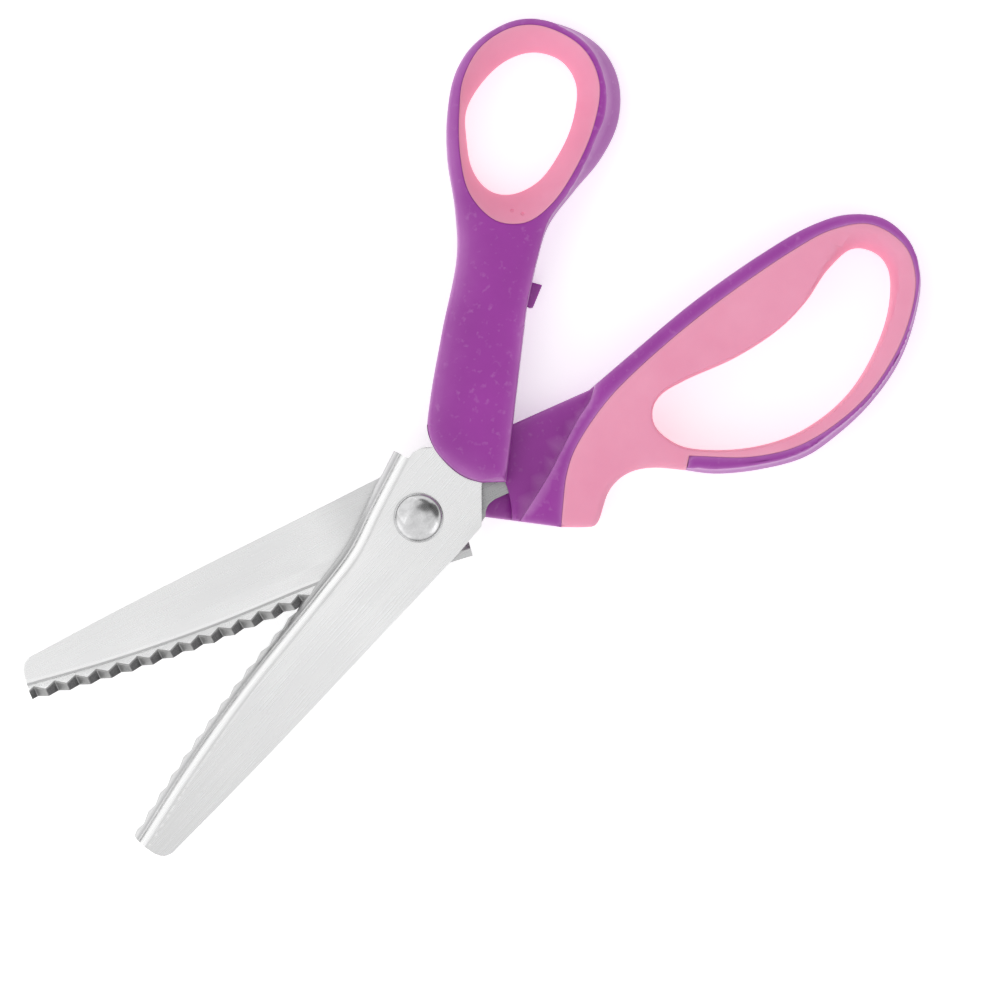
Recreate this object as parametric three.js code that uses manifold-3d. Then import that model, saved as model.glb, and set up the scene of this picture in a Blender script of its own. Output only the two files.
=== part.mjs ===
// Pinking shears: two folded-steel blades with a zigzag rim, turning on a domed rivet, each with a
// hard handle and a soft grip. Millimetres. The origin is the centre of the rivet's flat tail, +Z is
// the pivot axis and +X runs from the pivot along the finger handle, so the blades point towards -X.
// The finger half is fixed and the thumb half turns about the pivot.
import * as THREE from "three";
import { mergeVertices } from "three/addons/utils/BufferGeometryUtils.js";
import Module from "manifold-3d";

const wasm = await Module();
wasm.setup();

// Driving dimensions
const HEIGHT = 14; // handles, from resting face to front face
const MID = HEIGHT / 2; // plane in which the two zigzag rims meet
const GAP = 0.3; // left between pieces that touch on the real shears
const REST_OPENING = THREE.MathUtils.degToRad(24.3); // thumb half, turned open from the closed pose
const BLADE_SET = THREE.MathUtils.degToRad(0.55); // blade's own axis against its handle's axis

// Blades
const SHEET = 1.6; // steel thickness
const PLATE_CLEAR = 2.7; // plate to mid plane
const UPPER_PLATE = MID + PLATE_CLEAR; // underside of the upper plate
const FOLD = THREE.MathUtils.degToRad(57); // flange against the plate
const FOLD_RADIUS = 2.3; // outside of the fold
const TOOTH_PITCH = 5.04;
const TOOTH_HEIGHT = 2.0; // crest to valley
const LAST_CREST = 101.89; // radius of the crest at the tip
const TOOTH_COUNT = 15;
const RIM_CLEAR = 0.2; // each rim to the shared zigzag surface

// Pivot stack
const SHANK_RADIUS = 2.5;
const BORE_RADIUS = SHANK_RADIUS + GAP;
const HEAD_RADIUS = 5.85;
const HEAD_HEIGHT = 2.2;
const HEAD_EDGE = 0.35; // straight rim under the dome
const TAIL_RADIUS = 4.6;
const TAIL_HEIGHT = 1.1;
const BUSH_RADIUS = 5.2;
const WASHER_RADIUS = 6.3;
const THRUST_THICKNESS = 0.5;

// Handles
const HUB_CLEAR = 22; // radius about the pivot that the handles' inner halves stay out of
const NEST_GAP = 0.3; // each handle's inner face to the mid plane
const EDGE_ROUND = 1.2; // rounding of the hard handles' outer edges
const SKIN = GAP / 2; // half the gap between a hard handle and its grip
const CORE_BOTTOM = 4.2; // tongue of hard plastic inside each grip
const CORE_TOP = HEIGHT - CORE_BOTTOM;
const CORE_COVER = 1.7; // soft plastic between the tongue and the hole
const FUNNEL_HEIGHT = 5.2; // slope from a grip's face down to the waist of its hole
const FUNNEL_WIDTH = 2.0;
const LUG_BOTTOM = 1.2;
const LUG_TOP = 6.2;

const purple = new THREE.MeshStandardMaterial({ color: 0x9b479f, roughness: 0.42, metalness: 0 });
const pink = new THREE.MeshStandardMaterial({ color: 0xec9fb7, roughness: 0.7, metalness: 0 });
const steel = new THREE.MeshStandardMaterial({ color: 0xd8d8d8, roughness: 0.38, metalness: 1 });
const polished = new THREE.MeshStandardMaterial({ color: 0xc9c9cb, roughness: 0.15, metalness: 1 });
const nylon = new THREE.MeshStandardMaterial({ color: 0xe9e6dc, roughness: 0.55, metalness: 0 });

// ---------------------------------------------------------------- helpers

// A smooth curve through a few points at one height.
function smooth(points, closed, z = 0) {
  return new THREE.CatmullRomCurve3(points.map(([x, y]) => new THREE.Vector3(x, y, z)), closed, "centripetal");
}

// An open stretch through a few points, as evenly spaced vertices.
function stretch(points, count) {
  const curve = smooth(points, false);
  return curve.getSpacedPoints(count).map((p) => new THREE.Vector2(p.x, p.y));
}

// A closed smooth loop through a few points, as evenly spaced vertices.
function loop(points, count) {
  const curve = smooth(points, true);
  return curve.getSpacedPoints(count).slice(0, count).map((p) => new THREE.Vector2(p.x, p.y));
}

function corners(points) {
  return points.map(([x, y]) => new THREE.Vector2(x, y));
}

// Closed geometry to a solid that can be cut and joined.
function solid(geometry) {
  const bare = geometry.clone();
  bare.deleteAttribute("normal");
  bare.deleteAttribute("uv");
  const merged = mergeVertices(bare, 1e-4);
  const vertProperties = new Float32Array(merged.attributes.position.array);
  const triVerts = new Uint32Array(merged.index.array);
  return new wasm.Manifold(new wasm.Mesh({ numProp: 3, vertProperties, triVerts }));
}

// A slab of an outline between two heights, grown outwards by offset, with rounded edges if asked.
function slab(outline, bottom, top, { offset = 0, round = 0 } = {}) {
  const geometry = new THREE.ExtrudeGeometry(new THREE.Shape(outline), {
    depth: top - bottom - 2 * round,
    steps: 1,
    bevelEnabled: true,
    bevelThickness: round,
    bevelSize: round,
    bevelOffset: offset - round,
    bevelSegments: round > 0 ? 3 : 0,
  });
  geometry.translate(0, 0, bottom + round);
  return solid(geometry);
}

// A ring or disc about the pivot axis from [radius, height] pairs; it closes on the axis or on itself.
function turned(profile, segments = 40) {
  const geometry = new THREE.LatheGeometry(corners(profile), segments);
  geometry.rotateX(Math.PI / 2);
  return solid(geometry);
}

function disc(radius, bottom, top, segments = 64) {
  return turned([[0, bottom], [radius, bottom], [radius, top], [0, top]], segments);
}

function washer(inner, outer, bottom, top) {
  return turned([[inner, bottom], [outer, bottom], [outer, top], [inner, top], [inner, bottom]]);
}

function named(name, body, material) {
  const { vertProperties, triVerts } = body.getMesh();
  const geometry = new THREE.BufferGeometry();
  geometry.setAttribute("position", new THREE.BufferAttribute(new Float32Array(vertProperties), 3));
  geometry.setIndex(new THREE.BufferAttribute(new Uint32Array(triVerts), 1));
  geometry.computeVertexNormals();
  const mesh = new THREE.Mesh(geometry, material);
  mesh.name = name;
  return mesh;
}

// ---------------------------------------------------------------- blades
// Both blades are drawn as the upper one lies: cutting side +Y, flange folded down to the mid plane.

const FOLD_LINE = [[-100.7, -2.8], [-80, 0.35], [-56, 2.7], [-30, 3.8], [-16, 4.7], [-4, 7.8]];
const SPINE = [[8.3, -12.5], [0, -12.6], [-20, -11.9], [-60, -10.4], [-80, -9.4], [-97.5, -8.3]];
const TIP = [[-99.4, -7.3], [-100.5, -5.2]];

// Everything on the handle side of the flange, which differs between the blades.
const UPPER_HEEL = {
  flare: [9, 11],
  tang: [
    ...corners([[10.8, 11.1], [13, 10.2], [15, 8.4], [18, 10]]),
    ...stretch([[38, 22.4], [43, 23.4], [46.6, 20.5], [46, 15.5]], 8),
    ...corners([[43, 12.4], [19, -4.6], [15.6, -6.1]]),
  ],
};
const LOWER_HEEL = {
  flare: [8.4, 9.6],
  tang: [
    ...corners([[9.6, 9.3], [14.4, 6.3]]),
    ...stretch([[15, 5.2], [16.2, 4.1], [18.2, 3.5]], 4),
    ...corners([[32, 3.5], [34, 2.7], [43, -4.6]]),
    ...stretch([[43.6, -6.2], [42.4, -7.6], [40, -8]], 4),
    ...corners([[18, -8], [15.6, -6.1]]),
  ],
};

// Section of the folded flange: in the plate, round the fold and down past the mid plane.
function flangeSection() {
  const inside = 0.7; // radius of the fold's inner side
  const arcSteps = 5;
  const drop = PLATE_CLEAR + SHEET + TOOTH_HEIGHT;
  const section = [[-1, 0]];
  for (let i = 0; i <= arcSteps; i += 1) {
    const a = (FOLD * i) / arcSteps;
    section.push([FOLD_RADIUS * Math.sin(a), FOLD_RADIUS * (1 - Math.cos(a))]);
  }
  const run = (drop - FOLD_RADIUS * (1 - Math.cos(FOLD))) / Math.tan(FOLD);
  section.push([FOLD_RADIUS * Math.sin(FOLD) + run, drop]);
  section.push([FOLD_RADIUS * Math.sin(FOLD) + run - SHEET / Math.sin(FOLD), drop]);
  for (let i = arcSteps; i >= 0; i -= 2) {
    const a = (FOLD * i) / arcSteps;
    section.push([inside * Math.sin(a), SHEET + inside * (1 - Math.cos(a))]);
  }
  section.push([-1, SHEET]);
  return section;
}

// The flange, swept from heel to tip. A path in a level plane sends the section's x down and its y
// to the left of the way it runs, so it runs from the tip to the heel with the cutting side on its left.
function flange(heel) {
  const points = [...FOLD_LINE, heel.flare];
  const top = UPPER_PLATE + SHEET;
  const path = smooth(points, false, top);
  const section = new THREE.Shape(flangeSection().map(([out, down]) => new THREE.Vector2(down, out)));
  return solid(new THREE.ExtrudeGeometry(section, { steps: 36, bevelEnabled: false, extrudePath: path }));
}

// Surface in which the teeth of both rims lie, as heights over the mid plane for rising radius.
function zigzag() {
  const profile = [[LAST_CREST - (TOOTH_COUNT - 0.75) * TOOTH_PITCH, 0]];
  for (let k = TOOTH_COUNT - 1; k >= 0; k -= 1) {
    const crest = LAST_CREST - k * TOOTH_PITCH;
    profile.push([crest, TOOTH_HEIGHT / 2]);
    profile.push([crest + TOOTH_PITCH / 2, -TOOTH_HEIGHT / 2]);
  }
  return profile;
}

// Everything under the rim, to be cut away; side is +1 for the upper blade and -1 for the lower.
function rimCutter(side) {
  const floor = -HEIGHT;
  const surface = zigzag().map(([r, z]) => [r, MID + side * z + RIM_CLEAR]);
  const outer = surface[surface.length - 1];
  return turned([[0, floor], [outer[0], floor], outer, ...surface.reverse().slice(1), [0, MID + RIM_CLEAR]], 120);
}

function blade(heel, side) {
  const cuttingSide = stretch([...FOLD_LINE, heel.flare], 30);
  const outline = [...cuttingSide, ...heel.tang, ...stretch(SPINE, 16), ...corners(TIP)].reverse();
  return slab(outline, UPPER_PLATE, UPPER_PLATE + SHEET)
    .add(flange(heel))
    .subtract(rimCutter(side))
    .subtract(disc(BORE_RADIUS, 0, HEIGHT * 2, 32));
}

// Room for a tang inside its handle.
function tangPocket(heel) {
  const mouth = corners([[8.4, -12], [8.4, 9]]);
  const outline = [...heel.tang, ...mouth].reverse();
  return slab(outline, UPPER_PLATE - GAP, UPPER_PLATE + SHEET + GAP, { offset: GAP });
}

// Turns a blade or its pocket over into the finger half.
function turnedOver(body) {
  return body.rotate([180, 0, 0]).translate([0, 0, HEIGHT]);
}

function setOver(body) {
  return body.rotate([0, 0, THREE.MathUtils.radToDeg(BLADE_SET)]);
}

// ---------------------------------------------------------------- pivot

function pivotRivet() {
  const headSeat = UPPER_PLATE + SHEET + GAP;
  const domeSteps = 6;
  const profile = [[0, 0], [TAIL_RADIUS - 0.3, 0], [TAIL_RADIUS, 0.3], [TAIL_RADIUS, TAIL_HEIGHT]];
  profile.push([SHANK_RADIUS, TAIL_HEIGHT], [SHANK_RADIUS, headSeat], [HEAD_RADIUS, headSeat]);
  for (let i = 0; i < domeSteps; i += 1) {
    const a = ((Math.PI / 2) * i) / domeSteps;
    profile.push([HEAD_RADIUS * Math.cos(a), headSeat + HEAD_EDGE + (HEAD_HEIGHT - HEAD_EDGE) * Math.sin(a)]);
  }
  profile.push([0, headSeat + HEAD_HEIGHT]);
  return turned(profile);
}

// ---------------------------------------------------------------- handles

// A soft grip with its finger hole, which narrows from both faces to a waist.
function funnelled(body, hole) {
  const waist = loop(hole, 56);
  const spread = { depth: 2, steps: 1, bevelEnabled: true, bevelThickness: FUNNEL_HEIGHT,
    bevelSize: FUNNEL_WIDTH, bevelSegments: 1 };
  const up = new THREE.ExtrudeGeometry(new THREE.Shape(waist), spread);
  up.translate(0, 0, HEIGHT);
  const down = new THREE.ExtrudeGeometry(new THREE.Shape(waist), spread);
  down.translate(0, 0, -2);
  return body.subtract(slab(waist, -1, HEIGHT + 1)).subtract(solid(up)).subtract(solid(down));
}

const FINGER_BOTTOM = [[29.7, -15.7], [35.4, -18.2], [37, -18.6], [38.4, -17.9], [43, -12.9], [46.2, -11.1],
  [50, -10.5], [55, -11.6], [62, -15.3]];
const FINGER_BOW = [[62, -15.3], [68, -18.9], [78, -22.3], [89, -24], [98, -22.4], [108, -18.9], [118, -13],
  [126, -4.9], [131.4, 4], [132, 12], [128.5, 19.8], [121, 24.2], [112, 25.3], [100, 24.1], [80, 20.2],
  [60, 14.5], [49, 11.2]];
const FINGER_FRONT = [[20, 11.2], [17.2, 10], [14.9, 6.6], [13.8, 1.5], [13.8, -3]];
const FINGER_HOLE = [[59.7, -3], [60.9, 1], [64, 3.2], [70, 4], [84, 4.1], [96, 6.1], [104, 9.3], [112, 14.2],
  [119.5, 16.3], [124, 13], [125.1, 8.5], [122, 0.9], [115, -7.2], [104, -14.7], [91, -18], [80, -17.1],
  [70, -13.7], [63, -9.3]];
const FINGER_GRIP_FRONT = [[29.7, -15.7], [32, -11.5], [36, -4.8], [40, -0.4], [50, 6.2], [60, 10.5], [82, 17],
  [106, 21.6], [116, 22.3], [125, 19.8], [130.3, 12], [129.8, 4.6], [125.6, -2.7], [118, -10.4], [106, -17.5],
  [90, -20.9], [78, -19], [64, -12.6]];
const FINGER_CORE = [[30, -9], [36, -14.4], [43, -9.6], [51, -8], [60, -11.4], [70, -17], [88, -22.2], [106, -18.4],
  [120, -10], [130.5, 5], [129, 15.6], [119, 23.2], [104, 23], [80, 18.5], [56, 11.4], [36, 0]];
const STEP_EDGE = [[20.4, -11.4], [22.4, -9.9], [32, -3.4], [36, -0.2], [44, 6.1], [48, 8.7], [51, 12.2]];

function fingerOutline() {
  return [
    ...corners([[14.4, -6.3]]),
    ...stretch(FINGER_BOTTOM, 26),
    ...stretch(FINGER_BOW, 60).slice(1),
    ...stretch(FINGER_FRONT, 8),
  ];
}

function fingerGripOutline() {
  return [...stretch(FINGER_GRIP_FRONT, 64), ...stretch(FINGER_BOTTOM, 26).slice(1).reverse()].reverse();
}

function fingerCore(grow) {
  const body = slab(loop(FINGER_CORE, 50), CORE_BOTTOM - grow, CORE_TOP + grow, { offset: grow });
  return body.subtract(slab(loop(FINGER_HOLE, 56), 0, HEIGHT, { offset: CORE_COVER - grow }));
}

function fingerHandle() {
  const panelTop = MID - NEST_GAP;
  const overPanel = [...corners([[10, -12]]), ...stretch(STEP_EDGE, 12), ...corners([[50.4, 16], [10, 16]])];
  return slab(fingerOutline(), 0, HEIGHT, { round: EDGE_ROUND })
    .subtract(slab(fingerGripOutline(), -1, HEIGHT + 1, { offset: SKIN }))
    .subtract(slab(loop(FINGER_HOLE, 56), -1, HEIGHT + 1))
    .add(fingerCore(0))
    .subtract(slab(overPanel, panelTop, HEIGHT + 1))
    .subtract(disc(HUB_CLEAR, MID - PLATE_CLEAR - SHEET - GAP, HEIGHT + 1))
    .subtract(setOver(turnedOver(tangPocket(LOWER_HEEL))));
}

function fingerGrip() {
  const body = slab(fingerGripOutline(), 0, HEIGHT, { offset: -SKIN });
  return funnelled(body, FINGER_HOLE).subtract(fingerCore(GAP));
}

const THUMB_EDGE = [[20, -9.8], [54, 13.9]];
const THUMB_RING = [[54, 13.9], [64, 19.5], [72, 23.1], [82, 24], [92, 24.4], [101, 27], [108, 32.9], [111.2, 40],
  [111, 47], [108, 54.5], [102, 61.2], [92, 64.4], [84, 63.3], [76, 58.7], [68, 51.7], [60, 42.1], [52, 34.4],
  [36, 24.9], [22, 16.2], [16.8, 12.2]];
const THUMB_FRONT = [[14.6, 8], [13.8, 2.5], [14.3, -2], [16, -5.6]];
const THUMB_HOLE = [[68.6, 41], [70, 45.7], [74, 50.8], [79, 55.4], [86, 57.1], [94, 56.4], [100, 52.8],
  [102.8, 46.5], [101, 40.3], [94, 35.1], [86, 32.4], [78, 31.7], [72, 34], [69.2, 37.3]];
const THUMB_GRIP_FRONT = [[63.85, 35], [65, 42], [70, 49.2], [78, 56.6], [84, 60.7], [92, 62.6], [100, 60.5],
  [105, 56], [107.9, 47.9], [107.5, 41.8], [104, 35.6], [96, 30.4], [86, 27], [76, 25.6], [69, 27], [65, 31]];
const STOP_LUG = [[54.6, 16], [54.3, 13.5], [55, 12.9], [60.4, 14.8], [59.3, 17], [57.5, 18]];
const THUMB_NEST_EDGE = 11.5; // edge of the recess behind the thumb handle, level with the closed panel

function thumbOutline() {
  return [...corners(THUMB_EDGE), ...stretch(THUMB_RING, 70).slice(1), ...stretch(THUMB_FRONT, 6)];
}

// Rib of hard plastic that keys the thumb grip in place.
function thumbRib(grow) {
  const around = loop(THUMB_GRIP_FRONT, 56);
  return slab(around, CORE_BOTTOM - grow, CORE_TOP + grow, { offset: 1 })
    .subtract(slab(around, 0, HEIGHT, { offset: -1.2 - grow }));
}

function thumbHandle() {
  const behind = corners([[5, -20], [70, -20], [70, THUMB_NEST_EDGE], [5, THUMB_NEST_EDGE]]);
  return slab(thumbOutline(), 0, HEIGHT, { round: EDGE_ROUND })
    .subtract(slab(loop(THUMB_GRIP_FRONT, 56), -1, HEIGHT + 1, { offset: SKIN }))
    .add(thumbRib(0))
    .subtract(slab(behind, -1, MID + NEST_GAP))
    .subtract(disc(HUB_CLEAR, -1, UPPER_PLATE + SHEET + GAP))
    .subtract(setOver(tangPocket(UPPER_HEEL)))
    .add(slab(corners(STOP_LUG), LUG_BOTTOM, LUG_TOP));
}

function thumbGrip() {
  const body = slab(loop(THUMB_GRIP_FRONT, 56), 0, HEIGHT, { offset: -SKIN });
  return funnelled(body, THUMB_HOLE).subtract(thumbRib(GAP));
}

// ---------------------------------------------------------------- assembly

const lowerPlateTop = MID - PLATE_CLEAR;
const lowerPlateBottom = lowerPlateTop - SHEET;
const lowerThrust = lowerPlateTop + GAP;
const upperThrust = UPPER_PLATE - GAP - THRUST_THICKNESS;

const fingerHalf = new THREE.Group();
fingerHalf.add(
  named("finger_handle", fingerHandle(), purple),
  named("finger_grip", fingerGrip(), pink),
  named("lower_blade", setOver(turnedOver(blade(LOWER_HEEL, -1))), steel),
  named("pivot_rivet", pivotRivet(), polished),
  named("tail_washer", washer(BORE_RADIUS, WASHER_RADIUS, TAIL_HEIGHT + GAP, lowerPlateBottom - GAP), steel),
  named("lower_thrust_washer",
    washer(BORE_RADIUS, WASHER_RADIUS, lowerThrust, lowerThrust + THRUST_THICKNESS), nylon),
  named("pivot_bush",
    washer(BORE_RADIUS, BUSH_RADIUS, lowerThrust + THRUST_THICKNESS + GAP, upperThrust - GAP), steel),
);

const thumbHalf = new THREE.Group();
thumbHalf.rotation.z = REST_OPENING;
thumbHalf.add(
  named("thumb_handle", thumbHandle(), purple),
  named("thumb_grip", thumbGrip(), pink),
  named("upper_blade", setOver(blade(UPPER_HEEL, 1)), steel),
  named("upper_thrust_washer", washer(BORE_RADIUS, WASHER_RADIUS, upperThrust, upperThrust + THRUST_THICKNESS),
    nylon),
);

const shears = new THREE.Group();
shears.add(fingerHalf, thumbHalf);

export default shears;
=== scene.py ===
"""Looks for a pair of pinking shears: folded-steel blades with zigzag rims, a domed rivet, hard purple
handles and soft pink grips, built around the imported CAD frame. Lengths are millimetres unless a name
says otherwise, and MM turns them into Blender's metres."""
import math

import bmesh
import bpy
import numpy as np
from mathutils import Matrix, Vector, geometry


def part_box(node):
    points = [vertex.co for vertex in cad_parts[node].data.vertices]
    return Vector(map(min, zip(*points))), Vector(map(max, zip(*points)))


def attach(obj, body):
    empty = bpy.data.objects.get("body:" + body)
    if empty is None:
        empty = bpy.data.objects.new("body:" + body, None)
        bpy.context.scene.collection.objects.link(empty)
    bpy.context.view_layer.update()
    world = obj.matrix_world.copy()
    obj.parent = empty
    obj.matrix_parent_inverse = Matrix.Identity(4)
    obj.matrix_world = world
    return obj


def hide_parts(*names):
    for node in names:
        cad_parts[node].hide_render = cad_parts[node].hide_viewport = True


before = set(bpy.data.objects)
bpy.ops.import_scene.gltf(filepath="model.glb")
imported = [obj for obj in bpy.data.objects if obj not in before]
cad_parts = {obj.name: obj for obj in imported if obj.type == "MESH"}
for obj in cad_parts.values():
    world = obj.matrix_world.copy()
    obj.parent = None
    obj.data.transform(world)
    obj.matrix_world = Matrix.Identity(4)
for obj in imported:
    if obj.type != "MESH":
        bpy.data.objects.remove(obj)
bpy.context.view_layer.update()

MM = 0.001
FINGER, THUMB = "finger_half", "thumb_half"

# Heights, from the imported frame
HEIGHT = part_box("thumb_handle")[1].z / MM
MID = HEIGHT / 2
PLATE_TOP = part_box("upper_blade")[1].z / MM
HEAD_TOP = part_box("pivot_rivet")[1].z / MM
HEAD_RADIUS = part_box("pivot_rivet")[1].x / MM
SHEET = 1.6
PLATE_BOTTOM = PLATE_TOP - SHEET
NEST_GAP = 0.3
GAP = 0.3

# Angles of the two halves
REST_OPENING = math.radians(24.3)
BLADE_SET = math.radians(0.55)

# Zigzag rims, as in the CAD part
FOLD = math.radians(57)
FOLD_RADIUS = 3.2
FOLD_INSIDE = 0.7
RIM_STEEPENS = 1.6  # height over the mid plane below which the flange's outer face is ground steeper
RIM_ANGLE = math.radians(72)
RIM_BREAK = 0.08  # broken edge outside the rim
RIM_CHAMFER = 0.54  # ground chamfer inside the rim
TOOTH_PITCH = 5.04
TOOTH_HEIGHT = 2.0
LAST_CREST = 101.89
TOOTH_COUNT = 15
RIM_CLEAR = 0.2
FIRST_TOOTH = LAST_CREST - (TOOTH_COUNT - 0.75) * TOOTH_PITCH

# Pivot
BORE_RADIUS = 2.8
SHANK_RADIUS = 2.5
HUB_CLEAR = 22.0

# Outlines, as in the CAD part. The thumb half's are drawn in the closed pose.
FOLD_LINE = [(-100.7, -2.8), (-80, 0.35), (-56, 2.7), (-30, 3.8), (-16, 4.7), (-4, 7.8)]
SPINE = [(8.3, -12.5), (0, -12.6), (-20, -11.9), (-60, -10.4), (-80, -9.4), (-97.5, -8.3)]
TIP = [(-97.5, -8.3), (-99.2, -7.5), (-100.3, -5.6), (-100.7, -2.8)]
UPPER_FLARE = (9, 11)
UPPER_SHOULDER = [(10.8, 11.1), (13, 10.2), (15, 8.4), (18, 10)]
UPPER_TANG_END = [(38, 22.4), (43, 23.4), (46.6, 20.5), (46, 15.5)]
UPPER_TANG_SIDE = [(43, 12.4), (19, -4.6), (15.6, -6.1)]
LOWER_FLARE = (8.4, 9.6)
LOWER_SHOULDER = [(9.6, 9.3), (14.4, 6.3)]
LOWER_NECK = [(15, 5.2), (16.2, 4.1), (18.2, 3.5)]
LOWER_TANG_SIDE = [(32, 3.5), (34, 2.7), (43, -4.6)]
LOWER_TANG_END = [(43.6, -6.2), (42.4, -7.6), (40, -8)]
LOWER_TANG_BACK = [(18, -8), (15.6, -6.1)]

FINGER_BOTTOM = [(29.7, -15.7), (35.4, -18.2), (37, -18.6), (38.4, -17.9), (43, -12.9), (46.2, -11.1),
                 (50, -10.5), (55, -11.6), (62, -15.3)]
FINGER_BOW = [(62, -15.3), (68, -18.9), (78, -22.3), (89, -24), (98, -22.4), (108, -18.9), (118, -13),
              (126, -4.9), (131.4, 4), (132, 12), (128.5, 19.8), (121, 24.2), (112, 25.3), (100, 24.1),
              (80, 20.2), (60, 14.5), (49, 11.2)]
FINGER_FRONT = [(20, 11.2), (17.2, 10), (14.9, 6.6), (13.8, 1.5), (13.8, -3), (14.4, -6.3)]
FINGER_HOLE = [(59.7, -3), (60.9, 1), (64, 3.2), (70, 4), (84, 4.1), (96, 6.1), (104, 9.3), (112, 14.2),
               (119.5, 16.3), (124, 13), (125.1, 8.5), (122, 0.9), (115, -7.2), (104, -14.7), (91, -18),
               (80, -17.1), (70, -13.7), (63, -9.3)]
FINGER_GRIP_FRONT = [(29.7, -15.7), (32, -11.5), (36, -4.8), (40, -0.4), (50, 6.2), (60, 10.5), (82, 17),
                     (106, 21.6), (116, 22.3), (125, 19.8), (130.3, 12), (129.8, 4.6), (125.6, -2.7),
                     (118, -10.4), (106, -17.5), (90, -20.9), (78, -19), (64, -12.6)]
STEP_EDGE = [(20.4, -11.4), (22.4, -9.9), (32, -3.4), (36, -0.2), (44, 6.1), (48, 8.7), (51, 12.2)]
THUMB_EDGE = [(20, -9.8), (54, 13.9)]
THUMB_RING = [(54, 13.9), (64, 19.5), (72, 23.1), (82, 24), (92, 24.4), (101, 27), (108, 32.9), (111.2, 40),
              (111, 47), (108, 54.5), (102, 61.2), (92, 64.4), (84, 63.3), (76, 58.7), (68, 51.7),
              (60, 42.1), (52, 34.4), (36, 24.9), (22, 16.2), (16.8, 12.2)]
THUMB_FRONT = [(14.6, 8), (13.8, 2.5), (14.3, -2), (16, -5.6), (20, -9.8)]
THUMB_HOLE = [(68.6, 41), (70, 45.7), (74, 50.8), (79, 55.4), (86, 57.1), (94, 56.4), (100, 52.8),
              (102.8, 46.5), (101, 40.3), (94, 35.1), (86, 32.4), (78, 31.7), (72, 34), (69.2, 37.3)]
THUMB_GRIP_FRONT = [(63.85, 35), (65, 42), (70, 49.2), (78, 56.6), (84, 60.7), (92, 62.6), (100, 60.5),
                    (105, 56), (107.9, 47.9), (107.5, 41.8), (104, 35.6), (96, 30.4), (86, 27), (76, 25.6),
                    (69, 27), (65, 31)]
STOP_LUG = [(54.6, 16), (54.3, 13.5), (55, 12.9), (60.4, 14.8), (59.3, 17), (57.5, 18)]
THUMB_NEST_EDGE = 11.5


# ---------------------------------------------------------------- plane curves

SAME = 1e-6  # lengths below this count as none
NEVER_ZERO = 1e-12  # keeps divisors from being zero
TOUCHING = 1e-4  # points closer than this are one point
SPLINE_STEPS = 24  # between two given points of a curve, before it is spaced evenly


def spline(points, closed, spacing):
    """Evenly spaced points on the centripetal Catmull-Rom curve through a few points."""
    pts = np.array(points, float)
    if closed:
        ring = np.vstack([pts[-1], pts, pts[0], pts[1]])
    else:
        ring = np.vstack([2 * pts[0] - pts[1], pts, 2 * pts[-1] - pts[-2]])
    fine = []
    for p0, p1, p2, p3 in zip(ring, ring[1:], ring[2:], ring[3:]):
        spans = [max(np.linalg.norm(b - a), SAME) ** 0.5 for a, b in ((p0, p1), (p1, p2), (p2, p3))]
        t = np.cumsum([0] + spans)
        u = np.linspace(t[1], t[2], SPLINE_STEPS, endpoint=False)[:, None]
        a1 = (t[1] - u) / (t[1] - t[0]) * p0 + (u - t[0]) / (t[1] - t[0]) * p1
        a2 = (t[2] - u) / (t[2] - t[1]) * p1 + (u - t[1]) / (t[2] - t[1]) * p2
        a3 = (t[3] - u) / (t[3] - t[2]) * p2 + (u - t[2]) / (t[3] - t[2]) * p3
        b1 = (t[2] - u) / (t[2] - t[0]) * a1 + (u - t[0]) / (t[2] - t[0]) * a2
        b2 = (t[3] - u) / (t[3] - t[1]) * a2 + (u - t[1]) / (t[3] - t[1]) * a3
        fine.append((t[2] - u) / (t[2] - t[1]) * b1 + (u - t[1]) / (t[2] - t[1]) * b2)
    end = pts[0] if closed else pts[-1]
    fine = np.vstack(fine + [end[None, :]])
    return even(fine, spacing)[:-1] if closed else even(fine, spacing)


def even(line, spacing):
    """An open line again, with evenly spaced points and both its ends."""
    line = np.array(line, float)
    along = np.concatenate([[0], np.cumsum(np.linalg.norm(np.diff(line, axis=0), axis=1))])
    count = max(1, round(along[-1] / spacing))
    at = np.linspace(0, along[-1], count + 1)
    return np.column_stack([np.interp(at, along, line[:, k]) for k in (0, 1)])


def chain(*lines):
    """Open lines end to end, without the points that repeat where they meet."""
    kept = []
    for p in np.vstack(lines):
        if not kept or np.linalg.norm(p - kept[-1]) > TOUCHING:
            kept.append(p)
    if np.linalg.norm(kept[0] - kept[-1]) < TOUCHING:
        kept.pop()
    return np.array(kept)


def circle(radius, start, end, spacing):
    """An arc about the pivot between two angles in degrees."""
    steps = max(2, round(radius * abs(math.radians(end - start)) / spacing))
    a = np.radians(np.linspace(start, end, steps + 1))
    return radius * np.column_stack([np.cos(a), np.sin(a)])


POINTS_AT_ONCE = 2000  # keeps the tables of distances small


def distance(points, line, closed):
    """Distance from each point to a line, and the index of the nearest segment."""
    a = np.array(line, float)
    b = np.roll(a, -1, axis=0) if closed else a[1:]
    a = a if closed else a[:-1]
    ab = b - a
    length2 = np.maximum((ab ** 2).sum(1), NEVER_ZERO)
    best = np.full(len(points), np.inf)
    index = np.zeros(len(points), int)
    for start in range(0, len(points), POINTS_AT_ONCE):
        part = slice(start, start + POINTS_AT_ONCE)
        p = points[part, None, :]
        t = np.clip(((p - a) * ab).sum(2) / length2, 0, 1)
        d = np.linalg.norm(p - (a + t[..., None] * ab), axis=2)
        index[part] = d.argmin(1)
        best[part] = d.min(1)
    return best, index


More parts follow.
